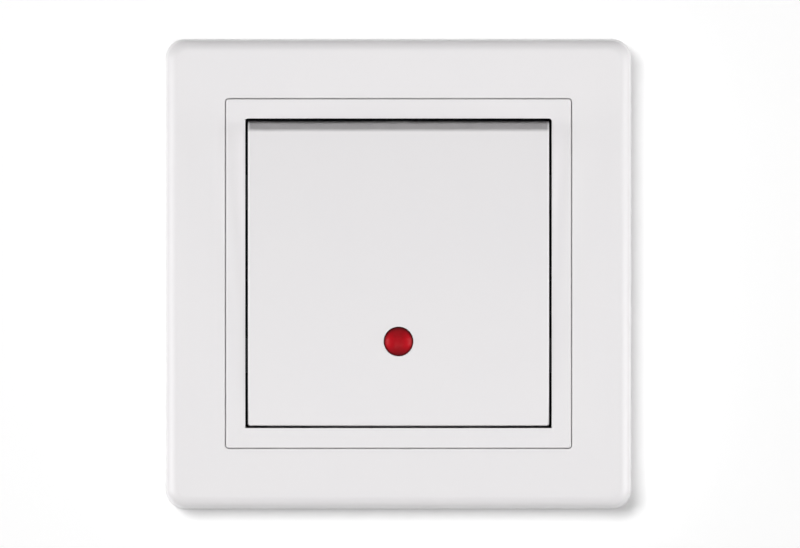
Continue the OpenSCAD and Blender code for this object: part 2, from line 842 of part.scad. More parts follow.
module moving_contact() {
    hung() color(silver_tint) tipped() translate([0, -contact_at, 0]) intersection() {
        translate([0, 0, blade_low - rivet_h - 1]) cylinder(rivet_h + 1, rivet_r, rivet_r);
        translate([0, 0, dome_c]) sphere(dome_r);
    }
}

module claw_shape() {
    color(steel_tint) difference() {
        along_y(2 * ramp_out) polygon([
            [base_w / 2 + 0.3, foot_low],
            [foot_end, foot_low],
            [tooth_end, foot_low + claw_t],
            [ramp_x(foot_low + claw_t, ramp_gap + claw_t) + 0.6, foot_low + claw_t],
            [ramp_x(foot_low + claw_t + tongue * cos(claw_lean), ramp_gap + claw_t),
                foot_low + claw_t + tongue * cos(claw_lean)],
            [ramp_x(foot_low + claw_t + tongue * cos(claw_lean), ramp_gap),
                foot_low + claw_t + tongue * cos(claw_lean)],
            [ramp_x(foot_low + claw_t, ramp_gap), foot_low + claw_t]
        ]);
        box_at(base_w / 2 - 1, claw_x + screw_r + 0.6, -foot_slot, foot_slot, foot_low - 1, 0);
        for (y = [-tooth_at, 0, tooth_at])
            translate([tooth_end, y, foot_low]) rotate([0, 0, 45])
                cube([tooth_cut, tooth_cut, 6 * claw_t], center = true);
    }
}

module claw_left() {
    hung() mirror([1, 0, 0]) claw_shape();
}

module claw_right() {
    hung() claw_shape();
}

module nut_shape() {
    color(steel_tint) translate([claw_x, 0, foot_low - nut_gap - nut_h]) difference() {
        translate([-nut_half, -nut_half, 0]) cube([2 * nut_half, 2 * nut_half, nut_h]);
        translate([0, 0, -nut_h]) cylinder(3 * nut_h, screw_r + running, screw_r + running);
    }
}

module claw_nut_left() {
    hung() mirror([1, 0, 0]) nut_shape();
}

module claw_nut_right() {
    hung() nut_shape();
}

module claw_screw_shape() {
    color(steel_tint) translate([claw_x, 0, 0]) difference() {
        union() {
            translate([0, 0, -base_deep - 0.5]) cylinder(base_deep + 1 + plate_t, screw_r, screw_r);
            translate([0, 0, plate_t]) cylinder(head_h, head_r, head_r);
        }
        translate([0, 0, plate_t + head_h]) cube([head_slot, 4 * head_r, head_h], center = true);
    }
}

module claw_screw_left() {
    hung() mirror([1, 0, 0]) claw_screw_shape();
}

module claw_screw_right() {
    hung() claw_screw_shape();
}

cover_frame();
centre_ring();
support_plate();
base_housing();
base_back();
terminal_barriers();
front_cover();
housing_screws();
line_terminal();
load_terminal();
line_clamp();
load_clamp();
terminal_screws();
fixed_contact();
lamp_holder();
neon_lamp();
lamp_electrodes();
resistor();
lamp_leads();
rocker();
indicator_lens();
rocker_cradle();
plunger_spring();
plunger();
contact_rocker();
moving_contact();
claw_left();
claw_right();
claw_nut_left();
claw_nut_right();
claw_screw_left();
claw_screw_right();
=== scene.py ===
import math

import bmesh
import bpy
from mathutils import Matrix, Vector


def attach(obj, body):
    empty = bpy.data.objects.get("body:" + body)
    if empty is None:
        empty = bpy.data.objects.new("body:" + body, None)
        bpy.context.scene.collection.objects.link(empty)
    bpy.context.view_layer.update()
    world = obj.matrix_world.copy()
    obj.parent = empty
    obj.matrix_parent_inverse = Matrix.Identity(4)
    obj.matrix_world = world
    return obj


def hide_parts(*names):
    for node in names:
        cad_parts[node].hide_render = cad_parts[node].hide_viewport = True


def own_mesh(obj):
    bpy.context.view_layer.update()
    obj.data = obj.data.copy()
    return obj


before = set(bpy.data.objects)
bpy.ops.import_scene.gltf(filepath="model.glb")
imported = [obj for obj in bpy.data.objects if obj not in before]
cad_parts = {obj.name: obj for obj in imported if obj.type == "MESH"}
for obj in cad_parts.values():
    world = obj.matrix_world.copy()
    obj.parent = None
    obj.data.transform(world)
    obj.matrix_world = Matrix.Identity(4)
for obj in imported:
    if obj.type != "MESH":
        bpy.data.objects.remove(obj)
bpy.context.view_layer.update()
mm = 0.001
mergeGap = 0.002 * mm                      # points closer than this become one
fineGap = 0.001 * mm                       # the same for threads, coils and slices
outward = (math.pi / 2, 0, 0)              # turns what is drawn upright to face out of the wall
slack = 0.01                               # places this near, in millimetres, are the same
spare = 1                                  # how far a cutter reaches past what it cuts
bpy.context.scene.view_settings.view_transform = "Standard"
print("frame loaded:", len(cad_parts), "nodes")


# places are given as on the wall: right, up and out of it, in millimetres
def onWall(x, y, z):
    return Vector((x, -z, y)) * mm


def spot(vert):
    return Vector((vert.co.x, vert.co.z, -vert.co.y)) / mm


def closeEdit():
    bpy.ops.object.mode_set(mode="OBJECT")


def clearSelection():
    if bpy.context.mode != "OBJECT":
        closeEdit()
    bpy.ops.object.select_all(action="DESELECT")


def activate(piece):
    clearSelection()
    piece.select_set(True)
    bpy.context.view_layer.objects.active = piece


# the object goes back to the origin, with its place in its mesh
def settle(name):
    bpy.ops.object.transform_apply(location=True, rotation=True, scale=True)
    bpy.context.object.name = name
    return bpy.context.object


def addBlock(name, low, high):
    clearSelection()
    a, b = onWall(*low), onWall(*high)
    bpy.ops.mesh.primitive_cube_add(size=1, location=(a + b) / 2)
    bpy.context.object.scale = [abs(q - p) for p, q in zip(a, b)]
    return settle(name)


def addRod(name, radius, length, centre, axis="out", sides=96):
    clearSelection()
    turns = {"out": outward, "side": (0, math.pi / 2, 0)}
    bpy.ops.mesh.primitive_cylinder_add(
        vertices=sides, radius=radius * mm, depth=length * mm,
        location=onWall(*centre), rotation=turns[axis])
    return settle(name)


def openWhole(piece):
    activate(piece)
    bpy.ops.object.mode_set(mode="EDIT")
    bpy.ops.mesh.select_all(action="SELECT")


# opens the piece in edit mode with only the wanted parts selected
def pickParts(piece, kind, test):
    activate(piece)
    bpy.ops.object.mode_set(mode="EDIT")
    bpy.ops.mesh.select_mode(type=kind)
    bpy.ops.mesh.select_all(action="DESELECT")
    shape = bmesh.from_edit_mesh(piece.data)
    parts = {"VERT": shape.verts, "EDGE": shape.edges, "FACE": shape.faces}[kind]
    for part in parts:
        if test(part):
            part.select_set(True)
    shape.select_flush_mode()
    bmesh.update_edit_mesh(piece.data)


def roundEdges(piece, test, width, steps):
    pickParts(piece, "EDGE", test)
    bpy.ops.mesh.bevel(offset=width * mm, segments=steps, profile=0.5, affect="EDGES")
    closeEdit()


def sliceOff(piece, point, away):
    pickParts(piece, "FACE", lambda face: True)
    bpy.ops.mesh.bisect(plane_co=onWall(*point), plane_no=onWall(*away).normalized(),
                        use_fill=True, clear_outer=True, threshold=fineGap)
    closeEdit()


def runModifier(piece, kind, **settings):
    activate(piece)
    step = piece.modifiers.new(kind.lower(), kind)
    for key, value in settings.items():
        setattr(step, key, value)
    bpy.ops.object.modifier_apply(modifier=step.name)


# winds an outline round the upright axis, rising by so much a turn, and closes its ends
def windUp(piece, rise, turns, steps):
    runModifier(piece, "SCREW", axis="Z", angle=2 * math.pi, screw_offset=rise * mm, iterations=turns,
                steps=steps, render_steps=steps)
    openWhole(piece)
    bpy.ops.mesh.remove_doubles(threshold=fineGap)
    bpy.ops.mesh.fill_holes(sides=0)
    bpy.ops.mesh.select_all(action="SELECT")
    bpy.ops.mesh.normals_make_consistent(inside=False)
    closeEdit()


def combine(piece, tool, operation):
    runModifier(piece, "BOOLEAN", operation=operation, object=tool, solver="EXACT")
    bpy.data.objects.remove(tool)


def cut(piece, tool):
    combine(piece, tool, "DIFFERENCE")


def weld(piece, tool):
    combine(piece, tool, "UNION")


def facesOut(face, least=0.9):
    return face.normal.y < -least


def facesWall(face, least=0.9):
    return face.normal.y > least


def alongDepth(edge, least=0.5):
    return abs(spot(edge.verts[0]).z - spot(edge.verts[1]).z) > least


def alongSide(edge, least=1):
    return abs(spot(edge.verts[0]).x - spot(edge.verts[1]).x) > least


def atDepth(edge, depth):
    return all(abs(spot(v).z - depth) < slack for v in edge.verts)


def sharp(edge, degrees=50):
    return len(edge.link_faces) == 2 and edge.calc_face_angle(0) > math.radians(degrees)


def finishPiece(piece, body, node, paint, smoothTo=40, flatWeight=80):
    openWhole(piece)
    bpy.ops.mesh.remove_doubles(threshold=mergeGap)
    bpy.ops.mesh.normals_make_consistent(inside=False)
    closeEdit()
    bpy.ops.object.shade_smooth_by_angle(angle=math.radians(smoothTo))
    runModifier(piece, "WEIGHTED_NORMAL", keep_sharp=True, weight=flatWeight)
    piece.data.materials.clear()
    piece.data.materials.append(paint)
    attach(piece, body)
    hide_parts(node)


# node groups that several finishes share
def startGroup(name, inputs, outputs):
    group = bpy.data.node_groups.new(name, "ShaderNodeTree")
    for socketName, kind, value in inputs:
        socket = group.interface.new_socket(socketName, in_out="INPUT", socket_type=kind)
        if value is not None:
            socket.default_value = value
    for socketName, kind in outputs:
        group.interface.new_socket(socketName, in_out="OUTPUT", socket_type=kind)
    return group, group.nodes.new("NodeGroupInput"), group.nodes.new("NodeGroupOutput")


def addNoise(tree, vector, scale, detail=2.0, roughness=0.5):
    noise = tree.nodes.new("ShaderNodeTexNoise")
    tree.links.new(vector, noise.inputs["Vector"])
    if isinstance(scale, (int, float)):
        noise.inputs["Scale"].default_value = scale
    else:
        tree.links.new(scale, noise.inputs["Scale"])
    noise.inputs["Detail"].default_value = detail
    noise.inputs["Roughness"].default_value = roughness
    return noise.outputs["Fac"]


def addMath(tree, operation, *values):
    step = tree.nodes.new("ShaderNodeMath")
    step.operation = operation
    for place, value in enumerate(values):
        if isinstance(value, (int, float)):
            step.inputs[place].default_value = value
        else:
            tree.links.new(value, step.inputs[place])
    return step.outputs[0]


def addRange(tree, value, low, high, toLow=0.0, toHigh=1.0):
    step = tree.nodes.new("ShaderNodeMapRange")
    tree.links.new(value, step.inputs["Value"])
    for key, number in (("From Min", low), ("From Max", high), ("To Min", toLow), ("To Max", toHigh)):
        step.inputs[key].default_value = number
    return step.outputs["Result"]


def addBlend(tree, share, first, second):
    step = tree.nodes.new("ShaderNodeMix")
    step.data_type = "RGBA"
    for place, value in ((0, share), (6, first), (7, second)):      # factor and the two colours
        if isinstance(value, (tuple, list)):
            step.inputs[place].default_value = value
        else:
            tree.links.new(value, step.inputs[place])
    return step.outputs[2]


def splitPlace(tree, place):
    parts = tree.nodes.new("ShaderNodeSeparateXYZ")
    tree.links.new(place, parts.inputs[0])
    return parts.outputs


lookOutputs = [("Colour", "NodeSocketColor"), ("Roughness", "NodeSocketFloat"), ("Height", "NodeSocketFloat")]
grainLook = dict(flowScale=70.0, flowDetail=3.0, flowLow=0.35, flowHigh=0.65)


# faint flow marks in the colour and a fine moulded grain
def makeMouldedGrain(s):
    group, given, result = startGroup(
        "mouldedGrain",
        [("Vector", "NodeSocketVector", None), ("Colour", "NodeSocketColor", (0.8, 0.8, 0.8, 1)),
         ("Flow colour", "NodeSocketColor", (0.78, 0.78, 0.78, 1)),
         ("Grain scale", "NodeSocketFloat", 5000.0), ("Roughness", "NodeSocketFloat", 0.4),
         ("Roughness play", "NodeSocketFloat", 0.08)], lookOutputs)
    flow = addNoise(group, given.outputs["Vector"], s["flowScale"], s["flowDetail"])
    grain = addNoise(group, given.outputs["Vector"], given.outputs["Grain scale"])
    share = addRange(group, flow, s["flowLow"], s["flowHigh"])
    tinted = addBlend(group, share, given.outputs["Colour"], given.outputs["Flow colour"])
    play = addMath(group, "MULTIPLY", addMath(group, "SUBTRACT", grain, 0.5), given.outputs["Roughness play"])
    group.links.new(tinted, result.inputs["Colour"])
    group.links.new(addMath(group, "ADD", given.outputs["Roughness"], play), result.inputs["Roughness"])
    group.links.new(grain, result.inputs["Height"])
    return group


metalLook = dict(patchScale=260.0, patchDetail=4.0, patchRough=0.6, patchLow=0.4, patchHigh=0.75,
                 streakPlay=0.3, stainPlay=0.08)


# rolling streaks and dull patches in the plating
def makeRolledMetal(s):
    group, given, result = startGroup(
        "rolledMetal",
        [("Vector", "NodeSocketVector", None), ("Colour", "NodeSocketColor", (0.6, 0.6, 0.6, 1)),
         ("Stain", "NodeSocketColor", (0.5, 0.5, 0.5, 1)), ("Roughness", "NodeSocketFloat", 0.35),
         ("Streaks", "NodeSocketVector", (400.0, 400.0, 6000.0))], lookOutputs)
    stretch = group.nodes.new("ShaderNodeVectorMath")
    stretch.operation = "MULTIPLY"
    group.links.new(given.outputs["Vector"], stretch.inputs[0])
    group.links.new(given.outputs["Streaks"], stretch.inputs[1])
    streaks = addNoise(group, stretch.outputs[0], 1.0)
    patches = addNoise(group, given.outputs["Vector"], s["patchScale"], s["patchDetail"], s["patchRough"])
    share = addRange(group, patches, s["patchLow"], s["patchHigh"])
    tinted = addBlend(group, share, given.outputs["Colour"], given.outputs["Stain"])
    uneven = addMath(group, "MULTIPLY", addMath(group, "SUBTRACT", streaks, 0.5), s["streakPlay"])
    spread = addMath(group, "ADD", addMath(group, "MULTIPLY", share, s["stainPlay"]), uneven)
    group.links.new(tinted, result.inputs["Colour"])
    group.links.new(addMath(group, "ADD", given.outputs["Roughness"], spread), result.inputs["Roughness"])
    group.links.new(streaks, result.inputs["Height"])
    return group


mouldedGrain = makeMouldedGrain(grainLook)
rolledMetal = makeRolledMetal(metalLook)


def startPaint(name):
    paint = bpy.data.materials.new(name)
    paint.use_nodes = True
    tree = paint.node_tree
    shader = tree.nodes["Principled BSDF"]
    place = tree.nodes.new("ShaderNodeTexCoord").outputs["Object"]
    return paint, tree, shader, place


def placeGroup(tree, shader, group, place, values):
    effect = tree.nodes.new("ShaderNodeGroup")
    effect.node_tree = group
    tree.links.new(place, effect.inputs["Vector"])
    for key, value in values.items():
        effect.inputs[key].default_value = value
    tree.links.new(effect.outputs["Colour"], shader.inputs["Base Color"])
    tree.links.new(effect.outputs["Roughness"], shader.inputs["Roughness"])
    return effect.outputs["Height"]


def addBump(tree, shader, height, strength, distance):
    bump = tree.nodes.new("ShaderNodeBump")
    bump.inputs["Strength"].default_value = strength
    bump.inputs["Distance"].default_value = distance * mm
    tree.links.new(height, bump.inputs["Height"])
    tree.links.new(bump.outputs["Normal"], shader.inputs["Normal"])


def makePlastic(name, colour, flowColour, grainScale, roughness, play, bump, bumpDepth=0.02, bend=1.5):
    paint, tree, shader, place = startPaint(name)
    height = placeGroup(tree, shader, mouldedGrain, place, {
        "Colour": colour, "Flow colour": flowColour, "Grain scale": grainScale,
        "Roughness": roughness, "Roughness play": play})
    shader.inputs["IOR"].default_value = bend
    addBump(tree, shader, height, bump, bumpDepth)
    return paint


def makeMetal(name, colour, stain, roughness, streaks, bump, bumpDepth=0.01):
    paint, tree, shader, place = startPaint(name)
    height = placeGroup(tree, shader, rolledMetal, place, {
        "Colour": colour, "Stain": stain, "Roughness": roughness, "Streaks": streaks})
    shader.inputs["Metallic"].default_value = 1.0
    addBump(tree, shader, height, bump, bumpDepth)
    return paint


# painted shade: what lies deep in the gaps round the rocker is painted dark, from one height off the wall to
# another
def paintGapShade(paint, name, darkAt, plainAt, shade=(0.03, 0.03, 0.033, 1)):
    copy = paint.copy()
    copy.name = name
    tree = copy.node_tree
    shader = tree.nodes["Principled BSDF"]
    parts = splitPlace(tree, tree.nodes.new("ShaderNodeTexCoord").outputs["Object"])
    height = addMath(tree, "MULTIPLY", parts["Y"], -1 / mm)
    plain = shader.inputs["Base Color"].links[0].from_socket
    share = addRange(tree, height, darkAt, plainAt, 1.0, 0.0)
    tree.links.new(addBlend(tree, share, plain, shade), shader.inputs["Base Color"])
    return copy


whitePlastic = makePlastic(
    "whitePlastic", colour=(0.792, 0.776, 0.784, 1), flowColour=(0.786, 0.771, 0.781, 1),
    grainScale=4200, roughness=0.36, play=0.1, bump=0.05)
innerPlastic = makePlastic(
    "innerPlastic", colour=(0.66, 0.66, 0.63, 1), flowColour=(0.62, 0.62, 0.59, 1),
    grainScale=3000, roughness=0.5, play=0.15, bump=0.15)
basePlastic = makePlastic(
    "basePlastic", colour=(0.085, 0.088, 0.095, 1), flowColour=(0.07, 0.073, 0.08, 1),
    grainScale=2600, roughness=0.48, play=0.25, bump=0.35)
zincSteel = makeMetal(
    "zincSteel", colour=(0.62, 0.63, 0.65, 1), stain=(0.56, 0.57, 0.56, 1),
    roughness=0.34, streaks=(500, 500, 7000), bump=0.06)
dullZinc = makeMetal(
    "dullZinc", colour=(0.52, 0.53, 0.55, 1), stain=(0.45, 0.46, 0.46, 1),
    roughness=0.56, streaks=(500, 500, 7000), bump=0.08)
brassStrip = makeMetal(
    "brassStrip", colour=(0.66, 0.47, 0.16, 1), stain=(0.56, 0.37, 0.12, 1),
    roughness=0.3, streaks=(600, 6000, 600), bump=0.05)
silverContact = makeMetal(
    "silverContact", colour=(0.78, 0.78, 0.8, 1), stain=(0.68, 0.66, 0.64, 1),
    roughness=0.22, streaks=(900, 900, 900), bump=0.04)
# painted shade on the hooks of the ring's clips, the front of the plate and the heads of the claw screws,
# where they lie deep in the gaps
ringPlasticGapShade = paintGapShade(whitePlastic, "ringPlasticGapShade", darkAt=1.9, plainAt=2.1)      # the hooks of its clips
plateZinc = paintGapShade(dullZinc, "plateZinc", darkAt=1.18, plainAt=1.03)            # the front of the plate
screwZincGapShade = paintGapShade(zincSteel, "screwZincGapShade", darkAt=1.25, plainAt=1.05)           # the heads of the claw screws
print("finishes made")


outerFrame = dict(width=80, height=80.7, depth=9.6, wall=2, corner=3.4, edge=1.8, lean=0.35,
                  ledgeDepth=7.8, ledgeThick=2, ledgeSink=0.9, recessX=29.8, recessY=30.12, recessCorner=0.65,
                  border=1.5, openX=27.9, openY=28.4, rimLow=1.4, rimThick=1.2, rimSink=0.3,
                  ribAt=20, ribHalf=0.6, ribLow=3, ribInset=1, ribSink=1.1, keyHalf=5, keyTop=5.2,
                  softLip=0.06, cornerSteps=14, edgeSteps=12, hollowSteps=6, recessSteps=4, lipSteps=3)


def makeOuterFrame(s):
    x, y, deep, wall = s["width"] / 2, s["height"] / 2, s["depth"], s["wall"]
    piece = addBlock("outerFrame", (-x, -y, 0), (x, y, deep))
    pickParts(piece, "FACE", facesOut)
    bpy.ops.transform.resize(value=(1 - s["lean"] / x, 1, 1 - s["lean"] / y))
    closeEdit()
    roundEdges(piece, alongDepth, s["corner"], s["cornerSteps"])
    roundEdges(piece, lambda e: atDepth(e, deep), s["edge"], s["edgeSteps"])
    hollow = addBlock("hollow", (wall - x, wall - y, -spare), (x - wall, y - wall, deep - wall))
    roundEdges(hollow, alongDepth, s["corner"] - wall, s["hollowSteps"])
    cut(piece, hollow)
    rx, ry, border = s["recessX"], s["recessY"], s["border"]
    weld(piece, addBlock("ledge", (-rx - border, -ry - border, s["ledgeDepth"] - s["ledgeThick"]),
                         (rx + border, ry + border, deep - s["ledgeSink"])))
    px, py = s["openX"] + s["rimThick"], s["openY"] + s["rimThick"]
    weld(piece, addBlock("rim", (-px, -py, s["rimLow"]), (px, py, s["ledgeDepth"] - s["rimSink"])))
    ribX, ribY, ribTop = x - s["ribInset"], y - s["ribInset"], deep - s["ribSink"]
    for at in (-s["ribAt"], s["ribAt"]):
        a, b = at - s["ribHalf"], at + s["ribHalf"]
        weld(piece, addBlock("rib", (-ribX, a, s["ribLow"]), (ribX, b, ribTop)))
        weld(piece, addBlock("rib", (a, -ribY, s["ribLow"]), (b, ribY, ribTop)))
    recess = addBlock("recess", (-rx, -ry, s["ledgeDepth"]), (rx, ry, deep + 2 * spare))
    roundEdges(recess, alongDepth, s["recessCorner"], s["recessSteps"])
    cut(piece, recess)
    cut(piece, addBlock("opening", (-s["openX"], -s["openY"], -spare), (s["openX"], s["openY"], deep)))
    reach = ry + border
    cut(piece, addBlock("key", (-reach, -s["keyHalf"], -spare), (reach, s["keyHalf"], s["keyTop"])))
    cut(piece, addBlock("key", (-s["keyHalf"], -reach, -spare), (s["keyHalf"], reach, s["keyTop"])))
    roundEdges(piece, lambda e: atDepth(e, deep) and sharp(e), s["softLip"], s["lipSteps"])
    finishPiece(piece, "switch", "cover_frame", whitePlastic)


makeOuterFrame(outerFrame)
print("outer frame made")


clipRing = dict(width=59.3, height=59.94, back=7.8, front=9.6, corner=0.5, softEdge=0.22,
                fall=0.2, fallWidth=1.75, holeX=26.3, holeY=26.54, holeCorner=0.45,
                sweep=27.851, sweepUp=0.05, sweepSides=360, pivot=1,
                skirt=1.3, skirtHalf=25.04, skirtLow=1.3, skirtSink=0.45,
                clipAt=14, clipHalf=3, clipReach=25, clipLow=1.35, clipHigh=1.85, clipSink=0.4,
                slitHalf=0.5, slitTop=4.6, keyHalf=5, keyTop=5.2, softLip=0.05, lipPlay=0.02,
                cornerSteps=5, edgeSteps=4, holeSteps=4, lipSteps=3)


def makeClipRing(s):
    x, y, front = s["width"] / 2, s["height"] / 2, s["front"]
    piece = addBlock("clipRing", (-x, -y, s["back"]), (x, y, front))
    roundEdges(piece, alongDepth, s["corner"], s["cornerSteps"])
    roundEdges(piece, lambda e: atDepth(e, front), s["softEdge"], s["edgeSteps"])
    fx, fy = s["holeX"] + 2 * s["fallWidth"], s["holeY"] + 2 * s["fallWidth"]
    dip = addBlock("dip", (-fx, -fy, front - s["fall"]), (fx, fy, front + s["fall"]))     # falls to the hole
    pickParts(dip, "FACE", facesWall)
    bpy.ops.transform.resize(value=(s["holeX"] / fx, 1, s["holeY"] / fy))
    closeEdit()
    cut(piece, dip)
    axle = (0, s["sweepUp"], s["pivot"])
    sweep = addRod("sweep", s["sweep"], 2 * s["holeX"], axle, "side", s["sweepSides"])
    roundEdges(sweep, sharp, s["holeCorner"], s["holeSteps"])
    cut(piece, sweep)
    for side in (-1, 1):
        near, far = sorted((side * s["holeX"], side * (s["holeX"] + s["skirt"])))
        skirt = addBlock("skirt", (near, -s["skirtHalf"], s["skirtLow"]),
                         (far, s["skirtHalf"], s["back"] + s["skirtSink"]))
        for at in (-s["clipAt"], s["clipAt"]):
            a, b = sorted((side * s["clipReach"], side * (s["holeX"] + s["clipSink"])))
            weld(skirt, addBlock("clip", (a, at - s["clipHalf"], s["clipLow"]),
                                 (b, at + s["clipHalf"], s["clipHigh"])))
            for end in (-1, 1):
                mid = at + end * (s["clipHalf"] + 2 * s["slitHalf"])
                cut(skirt, addBlock("slit", (near - spare, mid - s["slitHalf"], 0),
                                    (far + spare, mid + s["slitHalf"], s["slitTop"])))
        cut(skirt, addBlock("key", (near - spare, -s["keyHalf"], 0),
                            (far + spare, s["keyHalf"], s["keyTop"])))
        weld(piece, skirt)
    level = front - s["fall"] - s["lipPlay"]
    roundEdges(piece, lambda e: sharp(e) and all(spot(v).z > level for v in e.verts),
               s["softLip"], s["lipSteps"])
    finishPiece(piece, "switch", "centre_ring", ringPlasticGapShade)


makeClipRing(clipRing)
print("clip ring made")


rockerCap = dict(width=51.7, height=51.1, rise=10.3, wall=1.5, pivot=1, tilt=4.5,
                 belly=2.6, bellyRise=0.085, bellyClear=0.2,
                 endRadius=16.5, endCentre=4.3, endEdge=0.41, sideEdge=0.4,
                 deckX=11.2, deckTop=4.4, ribAt=5.04, ribHalf=0.6, ribSink=0.6,
                 hookAt=5.8, hookHalf=1.4, hookThick=1.2, hookPlay=0.2, hookLow=1.6, hookLip=0.6,
                 spineX=16, spineHalf=22, spineHigh=1.6, spineFrom=8.2, spineTo=24.2, spineSink=0.5,
                 stepEdge=25.43, stepLow=6.1, stepSoft=0.12, stepWall=1.1,
                 lensDrop=10.9, lensHole=2.55, holeLong=20, lensSeat=3.4, seatLong=4,
                 lensBoss=4.5, lensBossLow=7.8, bossSink=0.4, lensLip=0.04,
                 outerSides=132, innerSides=180, endSteps=8, sideSteps=5, softSteps=3)


# a round bar across the switch is pulled apart into two rounded ends, and its top is sliced flat
def addBlank(name, s, inset, sides):
    level = s["pivot"] + s["endCentre"]
    blank = addRod(name, s["endRadius"] - inset, s["width"] - 2 * inset, (0, 0, level), "side", sides)
    reach = s["height"] / 2 - math.sqrt(s["endRadius"] ** 2 - (s["rise"] - s["endCentre"]) ** 2)
    for way in (-1, 1):
        pickParts(blank, "VERT", lambda v: way * spot(v).y > slack)
        bpy.ops.transform.translate(value=onWall(0, way * reach, 0))
        closeEdit()
    sliceOff(blank, (0, 0, s["pivot"] + s["rise"] - inset), (0, 0, 1))
    return blank


# true for the edge along the upper end of the face, or along the lower
def onEnd(edge, face, way):
    return atDepth(edge, face) and alongSide(edge) and way * spot(edge.verts[0]).y > 0


# true for the edges round a side of the rocker, except along its belly
def onOutline(edge, s):
    ends = [spot(v) for v in edge.verts]
    middle = (ends[0] + ends[1]) / 2
    belly = s["pivot"] + s["belly"] + s["bellyClear"] + s["bellyRise"] * abs(middle.y)
    return all(abs(abs(p.x) - s["width"] / 2) < slack for p in ends) and middle.z > belly


# a piece drawn square to the wall is tipped to the rest position of the rocker
def turnWithRocker(piece, s):
    activate(piece)
    bpy.context.scene.cursor.location = onWall(0, 0, s["pivot"])
    bpy.ops.object.origin_set(type="ORIGIN_CURSOR")
    piece.rotation_euler = (math.radians(s["tilt"]), 0, 0)
    settle(piece.name)
    bpy.context.scene.cursor.location = (0, 0, 0)


# ribs, hooks and spines under the face, and the boss with the seat of the lens
def addInside(piece, s, under):
    thick, high, low = s["ribHalf"], under + s["ribSink"], s["pivot"] + s["hookLow"]
    reach, deck = s["deckX"] - thick, s["pivot"] + s["deckTop"]
    for at in (-s["ribAt"], s["ribAt"]):
        weld(piece, addBlock("rib", (-reach, at - thick, deck), (reach, at + thick, high)))
    foot, top = under - s["spineHigh"], under + s["spineSink"]
    for side in (-1, 1):
        for at in (-s["hookAt"], s["hookAt"]):
            down, up = at - s["hookHalf"], at + s["hookHalf"]
            inner = s["deckX"] + s["hookPlay"]
            a, b = sorted((side * inner, side * (inner + s["hookThick"])))
            weld(piece, addBlock("hook", (a, down, low), (b, up, high)))
            a, b = sorted((side * (s["deckX"] - s["hookLip"]), side * (s["deckX"] + 2 * s["hookPlay"])))
            weld(piece, addBlock("hookLip", (a, down, low), (b, up, low + s["hookLip"])))
        mid, half = side * s["spineX"], s["spineHalf"]
        weld(piece, addBlock("spine", (mid - thick, -half, foot), (mid + thick, half, top)))
        a, b = sorted((side * s["spineFrom"], side * s["spineTo"]))
        weld(piece, addBlock("spine", (-thick, a, foot), (thick, b, top)))
    bossLow, bossHigh = s["pivot"] + s["lensBossLow"], under + s["bossSink"]
    middle = (0, -s["lensDrop"], (bossLow + bossHigh) / 2)
    weld(piece, addRod("boss", s["lensBoss"], bossHigh - bossLow, middle))
    cut(piece, addRod("seat", s["lensSeat"], s["seatLong"], (0, -s["lensDrop"], under - s["seatLong"] / 2)))


def makeRockerCap(s):
    half, face = s["width"] / 2, s["pivot"] + s["rise"]
    piece = addBlank("rockerCap", s, 0, s["outerSides"])
    for way in (-1, 1):
        sliceOff(piece, (0, 0, s["pivot"] + s["belly"]), (0, way * s["bellyRise"], -1))
    # a step behind the lower edge keeps the gap under it dark
    cut(piece, addBlock("step", (-half - spare, -s["height"], s["pivot"] + s["stepLow"]),
                        (half + spare, -s["stepEdge"], face + spare)))
    roundEdges(piece, lambda e: onEnd(e, face, 1), s["endEdge"], s["endSteps"])
    roundEdges(piece, lambda e: sharp(e) and onOutline(e, s), s["sideEdge"], s["sideSteps"])
    roundEdges(piece, lambda e: onEnd(e, face, -1), s["stepSoft"], s["softSteps"])
    hollow = addBlank("hollow", s, s["wall"], s["innerSides"])
    sliceOff(hollow, (0, s["stepWall"] - s["stepEdge"], 0), (0, -1, 0))
    cut(piece, hollow)
    addInside(piece, s, face - s["wall"])
    cut(piece, addRod("hole", s["lensHole"], s["holeLong"], (0, -s["lensDrop"], face)))
    roundEdges(piece, lambda e: atDepth(e, face) and sharp(e), s["lensLip"], s["softSteps"])
    turnWithRocker(piece, s)
    finishPiece(piece, "rocker", "rocker", whitePlastic)


makeRockerCap(rockerCap)
print("rocker made")


lens = dict(radius=2.5, foot=1, lip=0.8, shoulder=0.28, shoulderSteps=5, sink=0.22, dome=0.55, rings=14)
# the side colour is painted light; the deep and edge colours are painted shade
redLens = dict(clear=(0.40, 0.006, 0.012, 1), cloudy=(0.35, 0.004, 0.009, 1), side=(0.50, 0.003, 0.011, 1),
               deep=(0.13, 0.002, 0.005, 1), edge=(0.06, 0.001, 0.003, 1),
               cloudScale=900.0, cloudLow=0.3, cloudHigh=0.7, sideLightFrom=0.5, sideLightTo=2.0,
               footShadeFrom=-2.2, footShadeTo=-0.5, footShadeShare=0.9, topShadeFrom=0.6, topTo=2.2, topShadeShare=0.5,
               edgeShadeFrom=2.0, edgeShadeTo=2.48, smooth=0.16, dull=0.24, bend=1.49, gloss=0.1)


